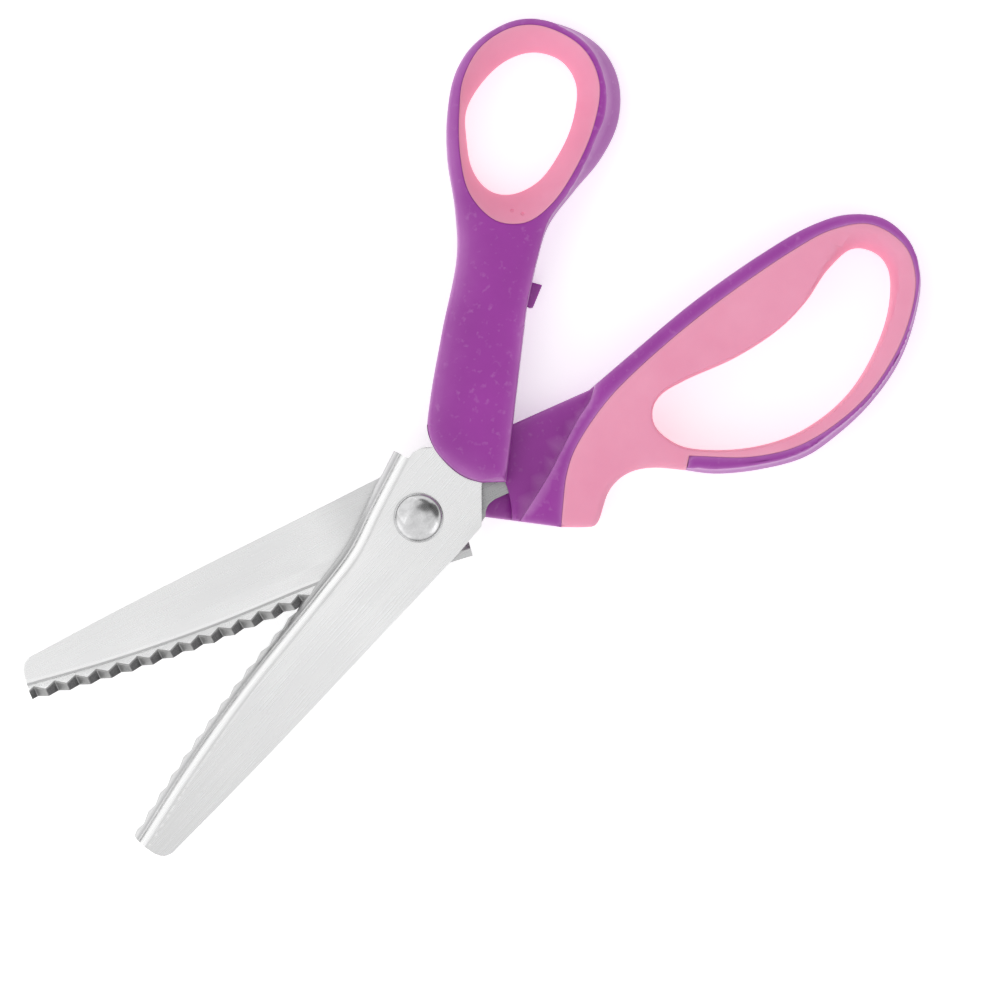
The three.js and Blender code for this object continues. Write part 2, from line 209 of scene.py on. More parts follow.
def side_of(points, line):
    """Positive to the left of an open line, as a signed distance."""
    d, index = distance(points, line, closed=False)
    a = np.array(line)[index]
    ab = np.array(line)[index + 1] - a
    cross = ab[:, 0] * (points[:, 1] - a[:, 1]) - ab[:, 1] * (points[:, 0] - a[:, 0])
    return np.where(cross >= 0, d, -d)


def inside(points, loop):
    """Whether each point lies inside a closed loop."""
    x, y = points[:, 0:1], points[:, 1:2]
    x1, y1 = loop[:, 0], loop[:, 1]
    x2, y2 = np.roll(x1, -1), np.roll(y1, -1)
    crosses = (y1 > y) != (y2 > y)
    at = x1 + (y - y1) * (x2 - x1) / np.where(y2 == y1, NEVER_ZERO, y2 - y1)
    return (crosses & (x < at)).sum(1) % 2 == 1


def normals(loop):
    """Unit normals of a closed counter-clockwise loop, pointing out."""
    tangent = np.roll(loop, -1, axis=0) - np.roll(loop, 1, axis=0)
    tangent /= np.linalg.norm(tangent, axis=1)[:, None]
    return np.column_stack([tangent[:, 1], -tangent[:, 0]])


def ccw(loop):
    """A closed loop, turned round where it runs clockwise."""
    x, y = loop[:, 0], loop[:, 1]
    area = (x * np.roll(y, -1) - np.roll(x, -1) * y).sum()
    return loop if area > 0 else loop[::-1]


def parallel(line, shift):
    """An open line moved sideways, to its left for a positive shift."""
    line = np.array(line, float)
    tangent = np.gradient(line, axis=0)
    tangent /= np.linalg.norm(tangent, axis=1)[:, None]
    return line + shift * np.column_stack([-tangent[:, 1], tangent[:, 0]])


# ---------------------------------------------------------------- meshes

THIN_BELOW = 1.2  # rows much deeper than this have fewer points than the edge
ROW_CLEAR = 0.96  # share of a row's depth that its points keep from every edge
FIELD_CLEAR = 0.4  # share of their spacing that the points further in keep from the deepest row
LINE_CLEAR = 0.5  # what points keep from an inner line
JOIN = 1e-5  # points closer than this are joined as the triangles are made


def triangles(outer, holes, lines, depths, grid):
    """Triangles that fill a region. It gets rows of points at some depths from its edges and from its
    holes, and evenly spaced points further in."""
    loops = [outer, *holes]
    points = [p for loop in loops for p in loop]
    edges = []
    start = 0
    for loop in loops:
        n = len(loop)
        edges += [(start + i, start + (i + 1) % n) for i in range(n)]
        start += n
    for line in lines:
        points += list(line)
        edges += [(start + i, start + i + 1) for i in range(len(line) - 1)]
        start += len(line)
    extra = []
    for k, loop in enumerate(loops):
        loop = ccw(loop)
        out = normals(loop) * (1 if k == 0 else -1)
        for depth in depths:
            step = max(1, round(depth / THIN_BELOW))
            extra.append((loop - out * depth)[::step])
            extra[-1] = clear_of(extra[-1], loops, lines, depth * ROW_CLEAR)
    low, high = outer.min(0), outer.max(0)
    xs, ys = np.arange(low[0], high[0], grid), np.arange(low[1], high[1], grid)
    field = np.array([(x + (j % 2) * grid / 2, y) for j, y in enumerate(ys) for x in xs])
    extra.append(clear_of(field, loops, lines, depths[-1] + grid * FIELD_CLEAR))
    extra = np.vstack(extra)
    extra = extra[inside(extra, outer)]
    for hole in holes:
        extra = extra[~inside(extra, hole)]
    points += list(extra)
    verts, _, faces, _, _, _ = geometry.delaunay_2d_cdt([Vector(p) for p in points], edges, [], 0, JOIN)
    flat = np.array([tuple(v) for v in verts])
    tri = np.array([f for f in faces if len(f) == 3])
    centre = flat[tri].mean(1)
    keep = inside(centre, outer)
    for hole in holes:
        keep &= ~inside(centre, hole)
    return flat, tri[keep]


def clear_of(points, loops, lines, gap):
    """The points that keep a gap to every loop and line."""
    near = np.full(len(points), np.inf)
    for loop in loops:
        near = np.minimum(near, distance(points, loop, closed=True)[0])
    for line in lines:
        to_line = distance(points, line, closed=False)[0]
        near = np.minimum(near, to_line + gap - min(gap, LINE_CLEAR))
    return points[near >= gap]


def relief(flat, tri, front, back, wall, open_edge=None):
    """A closed body from one filled region: front and back give each point's place, and wall the rings
    between them. No side faces are made where open_edge holds, since another surface joins on there."""
    top, low = front(flat), back(flat)
    n = len(flat)
    used = {}
    for a, b, c in tri:
        for e in ((a, b), (b, c), (c, a)):
            used[e] = used.get(e, 0) + 1
    rim = [(a, b) for a, b in used if (b, a) not in used]
    faces = [(int(a), int(b), int(c)) for a, b, c in tri]
    faces += [(int(a) + n, int(c) + n, int(b) + n) for a, b, c in tri]
    verts = [*map(tuple, top), *map(tuple, low)]
    rim_points = sorted({v for e in rim for v in e})
    rings = {v: [v] for v in rim_points}
    for ring in wall(flat[rim_points], top[rim_points], low[rim_points]):
        for v, p in zip(rim_points, ring):
            rings[v].append(len(verts))
            verts.append(tuple(p))
    for v in rim_points:
        rings[v].append(v + n)
    for a, b in rim:
        if open_edge is not None and open_edge(flat[a]) and open_edge(flat[b]):
            continue
        for i in range(len(rings[a]) - 1):
            faces.append((rings[b][i], rings[a][i], rings[a][i + 1], rings[b][i + 1]))
    return np.array(verts), faces


def rounding(d, radius):
    """Depth below a flat face, at a distance from its rounded edge."""
    inward = np.clip(radius - d, 0, radius)
    return radius - np.sqrt(np.maximum(radius ** 2 - inward ** 2, 0))


def add_object(name, data):
    obj = bpy.data.objects.new(name, data)
    bpy.context.scene.collection.objects.link(obj)
    return obj


WELD = 0.002  # points closer than this become one


def body(name, verts, faces, material, sharp=32, turn=0.0, attributes=None, second=None):
    """A mesh object from millimetres, smooth but for its sharp edges, turned about the pivot into place.
    Its material finds the place that each point had before the turn in the attribute grain. second is
    another material and, for each face, whether it has that one."""
    drawn = np.array(verts, float) * MM
    c, s = math.cos(turn), math.sin(turn)
    placed = drawn @ np.array([(c, s, 0), (-s, c, 0), (0, 0, 1)])
    mesh = bpy.data.meshes.new(name)
    mesh.from_pydata([tuple(v) for v in placed], [], [tuple(f) for f in faces])
    grain = mesh.attributes.new("grain", "FLOAT_VECTOR", "POINT")
    grain.data.foreach_set("vector", drawn.ravel().astype(np.float32))
    for key, values in (attributes or {}).items():
        layer = mesh.attributes.new(key, "FLOAT", "POINT")
        layer.data.foreach_set("value", np.array(values, np.float32))
    mesh.materials.append(material)
    if second:
        mesh.materials.append(second[0])
        mesh.polygons.foreach_set("material_index", [int(chosen) for chosen in second[1]])
    bm = bmesh.new()
    bm.from_mesh(mesh)
    bmesh.ops.remove_doubles(bm, verts=bm.verts, dist=WELD * MM)
    bmesh.ops.delete(bm, geom=[v for v in bm.verts if not v.link_faces], context="VERTS")
    bmesh.ops.recalc_face_normals(bm, faces=bm.faces)
    bm.to_mesh(mesh)
    bm.free()
    mesh.shade_smooth()
    mesh.set_sharp_from_angle(angle=math.radians(sharp))
    obj = add_object(name, mesh)
    weighted = obj.modifiers.new("even normals", "WEIGHTED_NORMAL")
    weighted.keep_sharp = True
    weighted.weight = 80
    return obj


def place(obj, half, nodes, slot):
    """Tell the frame a piece's half and hide the CAD nodes it stands for. slot is not used."""
    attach(obj, half)
    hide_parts(*nodes)
    return obj


# ---------------------------------------------------------------- materials

def set_range(node, low, high, out_low, out_high):
    """Fill in what a Map Range node reads from and what it gives."""
    for key, value in (("From Min", low), ("From Max", high), ("To Min", out_low), ("To Max", out_high)):
        node.inputs[key].default_value = value


class Nodes:
    """Short way to build one material's node tree."""

    def __init__(self, name):
        self.material = bpy.data.materials.new(name)
        self.material.use_nodes = True
        self.tree = self.material.node_tree
        self.shader = self.tree.nodes["Principled BSDF"]

    def add(self, kind, **values):
        node = self.tree.nodes.new(kind)
        for key, value in values.items():
            if hasattr(node, key):
                setattr(node, key, value)
            else:
                self.feed(node.inputs[key.replace("_", " ")], value)
        return node

    def feed(self, socket, value):
        if isinstance(value, bpy.types.NodeSocket):
            self.tree.links.new(value, socket)
        else:
            socket.default_value = value

    def set(self, **values):
        for key, value in values.items():
            self.feed(self.shader.inputs[key.replace("_", " ")], value)

    def place(self, scale):
        """The surface's own coordinates, stretched by three scales."""
        where = self.add("ShaderNodeAttribute", attribute_name="grain").outputs["Vector"]
        mapping = self.add("ShaderNodeMapping", Scale=scale)
        self.feed(mapping.inputs["Vector"], where)
        return mapping.outputs["Vector"]

    def noise(self, scale, detail=3.0, roughness=0.5):
        texture = self.add("ShaderNodeTexNoise", Scale=1.0, Detail=detail, Roughness=roughness)
        self.feed(texture.inputs["Vector"], self.place(scale))
        return texture.outputs["Fac"]

    def attribute(self, name):
        return self.add("ShaderNodeAttribute", attribute_name=name).outputs["Fac"]

    def ramp(self, fac, low, high, out_low, out_high):
        node = self.add("ShaderNodeMapRange")
        node.clamp = True
        self.feed(node.inputs["Value"], fac)
        set_range(node, low, high, out_low, out_high)
        return node.outputs["Result"]

    def mix(self, fac, a, b):
        node = self.add("ShaderNodeMix", data_type="RGBA")
        self.feed(node.inputs["Factor"], fac)
        self.feed(node.inputs[6], a)
        self.feed(node.inputs[7], b)
        return node.outputs[2]

    def math(self, operation, a, b):
        node = self.add("ShaderNodeMath", operation=operation)
        self.feed(node.inputs[0], a)
        self.feed(node.inputs[1], b)
        return node.outputs[0]

    def bump(self, height, strength, depth, below=None):
        node = self.add("ShaderNodeBump", Strength=strength, Distance=depth * MM)
        self.feed(node.inputs["Height"], height)
        if below is not None:
            self.feed(node.inputs["Normal"], below)
        return node.outputs["Normal"]


def brushed_steel(name, tone, rough):
    """Sheet steel with fine streaks along X, cloudy patches and a few deeper scratches. The attribute shade
    carries painted shade (above 0) and a painted highlight (below 0) in the colour."""
    m = Nodes(name)
    streaks = m.noise((60, 2600, 2600), detail=4, roughness=0.6)
    cloud = m.noise((45, 90, 90), detail=3)
    scratch = m.noise((110, 5200, 900), detail=2)
    shade = m.attribute("shade")
    colour = m.mix(m.ramp(streaks, 0.3, 0.7, 0.0, 1.0), (*[tone * 0.95] * 3, 1), (*[tone] * 3, 1))
    colour = m.mix(m.ramp(cloud, 0.35, 0.7, 0.0, 0.6), colour, (tone * 0.94, tone * 0.94, tone * 0.945, 1))
    # painted highlight: below 0, shade turns the colour towards white
    colour = m.mix(m.ramp(shade, 0.0, -1.0, 0.0, 1.0), colour, (0.99, 0.99, 0.99, 1))
    # painted shade: above 0, shade turns the colour towards dark grey
    painted_shade_amount = m.math("MULTIPLY", m.ramp(shade, 0.0, 1.0, 0.0, 1.0), m.ramp(streaks, 0.25, 0.6, 1.0, 0.8))
    colour = m.mix(painted_shade_amount, colour, (0.21, 0.21, 0.215, 1))
    roughness = m.math("ADD", m.ramp(streaks, 0.3, 0.7, rough - 0.05, rough + 0.06),
                       m.ramp(cloud, 0.3, 0.7, -0.03, 0.04))
    grain = m.bump(streaks, 0.16, 0.02)
    grain = m.bump(m.ramp(scratch, 0.68, 0.74, 0.0, 1.0), 0.12, 0.02, below=grain)
    m.set(Base_Color=colour, Metallic=1.0, Roughness=roughness, Normal=grain, Anisotropic=0.35)
    return m.material


def ground_steel(name):
    """The rims' ground faces: darker, with grinding lines across each tooth. The attribute shade is below 0
    on the tooth faces that look to the tip, which get a painted highlight."""
    m = Nodes(name)
    shade = m.attribute("shade")
    lines = m.noise((700, 5200, 5200), detail=3, roughness=0.6)
    stain = m.noise((300, 300, 300), detail=4)
    colour = m.mix(m.ramp(lines, 0.35, 0.65, 0.0, 1.0), (0.17, 0.17, 0.175, 1), (0.30, 0.30, 0.30, 1))
    # painted highlight on the tooth faces that look to the tip
    colour = m.mix(m.ramp(shade, 0.0, -1.0, 0.0, 0.4), colour, (0.78, 0.78, 0.77, 1))
    colour = m.mix(m.ramp(stain, 0.55, 0.75, 0.0, 0.6), colour, (0.14, 0.14, 0.145, 1))
    m.set(Base_Color=colour, Metallic=1.0, Roughness=m.ramp(lines, 0.3, 0.7, 0.28, 0.42),
          Normal=m.bump(lines, 0.35, 0.03))
    return m.material


def turned_steel(name, tone, rough):
    """Turned metal with faint rings about the pivot and small handling marks."""
    m = Nodes(name)
    where = m.add("ShaderNodeTexCoord").outputs["Object"]
    rings = m.add("ShaderNodeTexWave", wave_type="RINGS", rings_direction="Z", Scale=900.0, Distortion=0.6)
    m.feed(rings.inputs["Vector"], where)
    marks = m.noise((420, 420, 420), detail=5, roughness=0.65)
    colour = m.mix(m.ramp(marks, 0.45, 0.75, 0.0, 1.0), (tone, tone, tone * 1.01, 1),
                   (tone * 0.8, tone * 0.8, tone * 0.81, 1))
    lathe = m.bump(rings.outputs["Fac"], 0.06, 0.01)
    m.set(Base_Color=colour, Metallic=1.0, Roughness=m.ramp(marks, 0.35, 0.75, rough, rough + 0.14),
          Normal=m.bump(marks, 0.12, 0.05, below=lathe))
    return m.material


def hard_plastic(name):
    """Purple moulding: satin, faintly grained, a little smoother where hands rub its edges, and paler there
    from wear and a painted highlight.
    """
    m = Nodes(name)
    grain = m.noise((2300, 2300, 2300), detail=3, roughness=0.6)
    cloud = m.noise((70, 70, 70), detail=3)
    speck = m.noise((620, 620, 620), detail=2)
    edge = m.attribute("edge")
    deep, body_colour, worn_and_highlight = (0.32, 0.026, 0.34, 1), (0.365, 0.032, 0.385, 1), (0.6, 0.26, 0.6, 1)
    colour = m.mix(m.ramp(cloud, 0.3, 0.7, 0.0, 1.0), deep, body_colour)
    colour = m.mix(m.ramp(speck, 0.6, 0.78, 0.0, 0.25), colour, worn_and_highlight)
    # pale edges: wear and a painted highlight
    colour = m.mix(m.math("MULTIPLY", edge, m.ramp(cloud, 0.3, 0.7, 0.35, 0.8)), colour, worn_and_highlight)
    roughness = m.math("SUBTRACT", m.ramp(grain, 0.3, 0.7, 0.36, 0.46), m.math("MULTIPLY", edge, 0.1))
    m.set(Base_Color=colour, Roughness=roughness, Subsurface_Weight=0.08, Subsurface_Scale=0.0015,
          Subsurface_Radius=(1.0, 0.35, 1.0), Specular_IOR_Level=0.5,
          Normal=m.bump(grain, 0.12, 0.03, below=m.bump(cloud, 0.05, 0.3)))
    return m.material


def soft_plastic(name):
    """Pink soft-touch moulding: matt, finely pored, with a soft sheen."""
    m = Nodes(name)
    pores = m.noise((3100, 3100, 3100), detail=2, roughness=0.55)
    cloud = m.noise((85, 85, 85), detail=4)
    edge = m.attribute("edge")
    colour = m.mix(m.ramp(cloud, 0.3, 0.7, 0.0, 1.0), (0.93, 0.335, 0.505, 1), (0.97, 0.38, 0.55, 1))
    colour = m.mix(m.math("MULTIPLY", edge, 0.35), colour, (0.90, 0.44, 0.56, 1))
    m.set(Base_Color=colour, Roughness=m.ramp(pores, 0.3, 0.7, 0.56, 0.70), Subsurface_Weight=0.12,
          Subsurface_Scale=0.002, Subsurface_Radius=(1.0, 0.5, 0.5), Sheen_Weight=0.12, Sheen_Roughness=0.4,
          Normal=m.bump(pores, 0.16, 0.03, below=m.bump(cloud, 0.05, 0.3)))
    return m.material


def nylon(name):
    """Undyed nylon: off-white, slightly hazy."""
    m = Nodes(name)
    haze = m.noise((600, 600, 600), detail=3)
    colour = m.mix(m.ramp(haze, 0.3, 0.7, 0.0, 1.0), (0.74, 0.71, 0.63, 1), (0.82, 0.80, 0.73, 1))
    m.set(Base_Color=colour, Roughness=m.ramp(haze, 0.3, 0.7, 0.42, 0.58), Subsurface_Weight=0.2,
          Subsurface_Scale=0.001, Normal=m.bump(haze, 0.1, 0.02))
    return m.material


PURPLE = hard_plastic("purple_moulding")
PINK = soft_plastic("pink_soft_touch")
STEEL = brushed_steel("brushed_blade_steel", 0.86, 0.27)
GROUND = ground_steel("ground_rim_steel")
RIVET = turned_steel("polished_rivet_steel", 0.68, 0.12)
WASHER = turned_steel("turned_washer_steel", 0.62, 0.3)
NYLON = nylon("natural_nylon")


# ---------------------------------------------------------------- handles

EDGE_DEPTHS = (0.05, 0.14, 0.3, 0.55, 0.9, 1.4, 2.1, 3.0, 4.2)
SEAM = 0.28  # rounding of both edges where hard and soft plastic meet
THUMB_BAND, FINGER_BAND = 9.0, 3.4  # how far in from a handle's outline its draft fades out
BOW_FROM = 60  # where along X the finger handle becomes a band round the bow
WALL_STEP = 0.07  # half the draft of an upright wall between two levels
BOW_END = (122, 14)  # the finger hole's far end, where its edge is rounded most
GATE_MARKS = [(68.5, 31.6), (69.6, 29.2)]  # where the thumb's lining was cut from its sprue
GATE_RADII = (0.34, 0.5)
GATE_DEPTH = 0.3


def levels(points, zones, default):
    """Height and edge distance of stepped faces. zones is [(signed distances, height)], the first to be
    positive wins, and the distance is to the nearest wall between levels."""
    z = np.full(len(points), default, float)
    near = np.full(len(points), np.inf)
    free = np.ones(len(points), bool)
    for signed, height in zones:
        near = np.minimum(near, np.abs(signed))
        z[free & (signed > 0)] = height
        free &= signed <= 0
    return z, near


def moved_in(points, loop, amount, reach):
    """Points moved in from the nearest edge of a loop by that edge's amount, fading over a reach."""
    d, index = distance(points, loop, closed=True)
    out = normals(loop)
    after = (index + 1) % len(loop)
    n = out[index] + out[after]
    n /= np.linalg.norm(n, axis=1)[:, None]
    shift = 0.5 * (amount[index] + amount[after]) * np.clip(1 - d / reach, 0, 1)
    return points - n * shift[:, None]


def facing(loop, degrees, spread):
    """How far each point's outward side faces a direction, from 0 to 1."""
    out = normals(loop)
    towards = np.array([math.cos(math.radians(degrees)), math.sin(math.radians(degrees))])
    angle = np.degrees(np.arccos(np.clip(out @ towards, -1, 1)))
    return np.clip(1 - angle / spread, 0, 1) ** 0.7


# Rings round a moulding's side: how far down each one lies, and what share of the draft is left there
SIDE_RINGS = ((0.22, 0.55), (0.42, 0.12), (0.56, 0.0), (0.72, 0.12))


def upright_wall(points, top, low):
    """Rings down the side of a moulding, widest a little under its middle."""
    rings = []
    for share, pull in SIDE_RINGS:
        edge = top if share < 0.5 else low
        xy = points + (edge[:, :2] - points) * pull
        z = top[:, 2] + (low[:, 2] - top[:, 2]) * share
        rings.append(np.column_stack([xy, z]))
    return rings


def no_rings(points, top, low):
    """A side whose front and back edges are joined by one row of faces."""
    return []


def thumb_outline():
    """The thumb handle from above: its straight nesting edge, then round the ring and the stem."""
    straight = even(THUMB_EDGE, 1.6)
    return ccw(chain(straight, spline([*THUMB_RING, *THUMB_FRONT[:-1]], False, 1.1)))


def thumb_handle():
    """The purple stem and ring, hollowed at the back for the hub and the finger handle's panel."""
    outer = thumb_outline()
    grip = ccw(spline(THUMB_GRIP_FRONT, True, 1.1))
    nest = even([(19, THUMB_NEST_EDGE), (52, THUMB_NEST_EDGE)], 1.6)
    walls = [circle(HUB_CLEAR - WALL_STEP, -35, 55, 1.2), circle(HUB_CLEAR + WALL_STEP, -35, 55, 1.2),
             nest + (0, WALL_STEP), nest - (0, WALL_STEP)]
    flat, tri = triangles(outer, [grip], walls, EDGE_DEPTHS, 3.2)
    right_side = np.clip(3 * facing(outer, -40, 80), 0, 1) * np.clip((outer[:, 0] - 70) / 15, 0, 1)
    soft_side = np.maximum(facing(outer, 125, 85), facing(outer, 190, 70))
    ring_width = distance(outer, grip, closed=True)[0]
    draft = 0.15 + right_side * np.clip(ring_width - 1.4, 0, 3.2)
    radius = 0.45 + 1.9 * soft_side
    to_outer, index = distance(flat, outer, closed=True)
    to_grip = distance(flat, grip, closed=True)[0]

    def front(points):
        xy = moved_in(points, outer, draft, np.minimum(THUMB_BAND, to_outer + to_grip))
        z = HEIGHT - np.maximum(rounding(to_outer, radius[index]), rounding(to_grip, SEAM))
        return np.column_stack([xy, z])

    def back(points):
        zones = [(HUB_CLEAR - np.linalg.norm(points, axis=1), PLATE_TOP + GAP),
                 (THUMB_NEST_EDGE - points[:, 1], MID + NEST_GAP)]
        z, near = levels(points, zones, 0.0)
        edge = np.maximum(rounding(to_outer, 0.6), rounding(to_grip, SEAM))
        edge = np.maximum(edge, rounding(np.maximum(near - WALL_STEP, 0), 0.25))
        return np.column_stack([points, z + edge])

    verts, faces = relief(flat, tri, front, back, upright_wall)
    lug_verts, lug_faces = stop_lug()
    faces += [tuple(i + len(verts) for i in f) for f in lug_faces]
    # pale edges: wear and a painted highlight, wider on the soft side
    wear_and_highlight = np.exp(-to_outer / (0.8 + 1.2 * soft_side[index]))
    edge = np.concatenate([wear_and_highlight, wear_and_highlight, np.full(len(verts) - 2 * len(flat) + len(lug_verts), 0.3)])
    obj = body("thumb_handle_moulding", np.vstack([verts, lug_verts]), faces, PURPLE, turn=REST_OPENING,
               attributes={"edge": edge})
    return place(obj, THUMB, ["thumb_handle"], "hard_plastic")


LUG_BOTTOM, LUG_TOP, LUG_ROUND = 1.2, 6.2, 0.3


def stop_lug():
    """The small lug on the thumb handle's edge that meets the finger handle when the shears close."""
    outer = ccw(chain(even(STOP_LUG + STOP_LUG[:1], 0.35)))
    flat, tri = triangles(outer, [], [], (0.06, 0.16, 0.3), 1.0)
    d = distance(flat, outer, closed=True)[0]
    drop = rounding(d, LUG_ROUND)
    return relief(flat, tri, lambda p: np.column_stack([p, LUG_TOP - drop]),
                  lambda p: np.column_stack([p, LUG_BOTTOM + drop]), no_rings)


def grip_face(to_grip, to_hole, seam, reach, cone, drop):
    """Depth of a soft grip's face below its top: flat, then falling round into the hole."""
    width = np.minimum(reach, to_grip + to_hole)
    q = np.clip(1 - to_hole / np.maximum(width, SAME), 0, 1)
    fall = drop * (cone * q + (1 - cone) * (1 - np.sqrt(np.maximum(1 - q ** 2, 0))))
    return np.maximum(fall, rounding(seam, SEAM))


def thumb_grip():
    """The pink lining of the thumb's ring, a funnel from both faces to a waist."""
    outer = ccw(spline(THUMB_GRIP_FRONT, True, 1.1))
    hole = ccw(spline(THUMB_HOLE, True, 0.9))
    marks = [np.array(centre) + circle(radius, 0, 360, 0.2)
             for centre in GATE_MARKS for radius in GATE_RADII]
    flat, tri = triangles(outer, [hole], marks, (0.04, 0.12, 0.3, 0.6, 1.0, 1.5, 2.2, 3.0), 1.6)
    to_outer = distance(flat, outer, closed=True)[0]
    to_hole = distance(flat, hole, closed=True)[0]
    fall = grip_face(to_outer, to_hole, to_outer, 9.0, 0.55, MID - 0.6)
    to_mark = np.min([np.linalg.norm(flat - centre, axis=1) for centre in GATE_MARKS], axis=0)
    dent = GATE_DEPTH * (to_mark < sum(GATE_RADII) / 2)
    verts, faces = relief(flat, tri, lambda p: np.column_stack([p, HEIGHT - fall - dent]),
                          lambda p: np.column_stack([p, fall]), no_rings)
    edge = np.tile(np.exp(-to_outer / 0.5), 2)
    obj = body("thumb_ring_lining", verts, faces, PINK, turn=REST_OPENING, attributes={"edge": edge})
    return place(obj, THUMB, ["thumb_grip"], "soft_grip")


def finger_handle():
    """The purple stem with its low panel, and the band round the bow."""
    bow = spline(FINGER_BOW, False, 1.4)
    seam = spline(FINGER_GRIP_FRONT, False, 1.2)
    front_edge = spline(FINGER_FRONT, False, 0.9)
    outer = ccw(chain(even([FINGER_FRONT[-1], FINGER_BOTTOM[0]], 1.2), seam,
                      even([seam[-1], FINGER_BOW[0]], 0.8), bow,
                      even([FINGER_BOW[-1], FINGER_FRONT[0]], 1.4), front_edge))
    step = spline(STEP_EDGE, False, 1.0)
    walls = [parallel(step, WALL_STEP), parallel(step, -WALL_STEP),
             circle(HUB_CLEAR - WALL_STEP, -40, 45, 1.2), circle(HUB_CLEAR + WALL_STEP, -40, 45, 1.2)]
    flat, tri = triangles(outer, [], walls, EDGE_DEPTHS, 3.2)
    band = distance(outer, seam, closed=False)[0]
    under = facing(outer, -75, 80) * (outer[:, 0] > BOW_FROM) * (band > 0.5)
    draft = 0.12 + np.minimum(1.3 * under, 0.5 * band)
    to_outer, index = distance(flat, outer, closed=True)
    to_seam = distance(flat, seam, closed=False)[0]
    radius = np.where(band < 0.05, SEAM, 0.45 + 0.5 * under)

    def front(points):
        zones = [(HUB_CLEAR - np.linalg.norm(points, axis=1), MID - (PLATE_BOTTOM - MID) - SHEET - GAP),
                 (side_of(points, step), MID - NEST_GAP)]
        z, near = levels(points, zones, HEIGHT)
        edge = np.maximum(rounding(to_outer, radius[index]), rounding(np.maximum(near - WALL_STEP, 0), 0.3))
        edge = np.where(z > MID, edge, np.minimum(edge, 0.3))
        amount = np.where(radius == SEAM, 0, draft)
        xy = moved_in(points, outer, amount, np.minimum(FINGER_BAND, to_outer + to_seam))
        return np.column_stack([xy, z - edge])

    def back(points):
        return np.column_stack([points, np.minimum(rounding(to_outer, radius[index]), 0.6)])

    verts, faces = relief(flat, tri, front, back, upright_wall)
    # pale edges and steps: wear and a painted highlight
    wear_and_highlight = np.exp(-np.minimum(to_outer, np.where(to_seam < 0.5, 9, np.abs(side_of(flat, step)))) / 0.6)
    edge = np.concatenate([wear_and_highlight, wear_and_highlight, np.full(len(verts) - 2 * len(flat), 0.2)])
    obj = body("finger_handle_moulding", verts, faces, PURPLE, attributes={"edge": edge})
    return place(obj, FINGER, ["finger_handle"], "hard_plastic")


def finger_grip():
    """The pink lining of the finger bow, with the spur in front of it."""
    seam = spline(FINGER_GRIP_FRONT, False, 1.2)
    under = spline(FINGER_BOTTOM, False, 0.8)
    outer = ccw(chain(seam, even([seam[-1], FINGER_BOTTOM[-1]], 0.8), under[::-1]))
    hole = ccw(spline(FINGER_HOLE, True, 1.0))
    flat, tri = triangles(outer, [hole], [], (0.04, 0.12, 0.3, 0.6, 1.0, 1.5, 2.2, 3.2, 4.4), 2.4)
    to_outer = distance(flat, outer, closed=True)[0]
    to_under = distance(flat, under, closed=False)[0]
    to_hole = distance(flat, hole, closed=True)[0]
    reach = 0.7 + 4.2 * np.exp(-(np.linalg.norm(flat - BOW_END, axis=1) / 9) ** 2)
    fall = grip_face(to_outer, to_hole, to_outer, reach, 0.0, MID - 1.2)
    fall = np.maximum(fall, rounding(to_under, 1.5))
    verts, faces = relief(flat, tri, lambda p: np.column_stack([p, HEIGHT - fall]),
                          lambda p: np.column_stack([p, fall]), no_rings)
    edge = np.tile(np.exp(-to_outer / 0.5), 2)
    obj = body("finger_bow_lining", verts, faces, PINK, attributes={"edge": edge})
    return place(obj, FINGER, ["finger_grip"], "soft_grip")


# ---------------------------------------------------------------- blades
# Both are drawn as the upper one lies: cutting side +Y, flange folded down to the mid plane.

TOOTHED_FROM = 28.0  # radius a little inside the first tooth
TOOTH_CLIP = 0.1  # half the width of a crest's flat, along the blade
TIP_CLEAR = 0.05  # least distance from the tip to the first mark
FLARE_FROM, FLARE_OVER = 20, 9  # radii over which the flange turns to lie across the fold line


def stations(flare):
    """Points on the fold line from tip to heel, each with its direction across the flange."""
    line = spline([*FOLD_LINE, flare], False, 0.1)
    radius = np.linalg.norm(line, axis=1)
    toothed = int(np.argmin(np.abs(radius - TOOTHED_FROM)))
    marks = []
    for k in range(TOOTH_COUNT * 2):
        turn = LAST_CREST - k * TOOTH_PITCH / 2
        marks += [turn + TOOTH_CLIP, turn - TOOTH_CLIP, turn - TOOTH_PITCH / 6, turn - TOOTH_PITCH / 3]
    marks = {m for m in marks if FIRST_TOOTH <= m <= radius[0] - TIP_CLEAR}
    marks = [radius[0]] + sorted(marks, reverse=True)
    rising_radius, rising = radius[:toothed][::-1], line[:toothed][::-1]
    base = np.column_stack([np.interp(marks, rising_radius, rising[:, k]) for k in (0, 1)])
    heel = even(line[np.linalg.norm(line - base[-1], axis=1).argmin():], 1.2)[1:]
    base = np.vstack([base, heel])
    along = np.gradient(base, axis=0)
    along /= np.linalg.norm(along, axis=1)[:, None]
    across = np.column_stack([-along[:, 1], along[:, 0]])
    r = np.linalg.norm(base, axis=1)
    tangent = np.column_stack([base[:, 1], -base[:, 0]]) / r[:, None]
    share = np.clip((r - FLARE_FROM) / FLARE_OVER, 0, 1)[:, None]
    share[len(marks):] *= np.linspace(1, 0, len(base) - len(marks))[:, None] ** 0.5
    share[:len(marks)] = 1
    direction = tangent * share + across * (1 - share)
    direction /= np.linalg.norm(direction, axis=1)[:, None]
    return base, direction, len(marks)


def zigzag(r):
    """Height of the shared tooth surface over the mid plane at a radius."""
    phase = (LAST_CREST - r) / TOOTH_PITCH
    wave = 1 - 4 * np.abs(phase - np.round(phase))
    return np.where(r < FIRST_TOOTH, 0, wave * TOOTH_HEIGHT / 2)


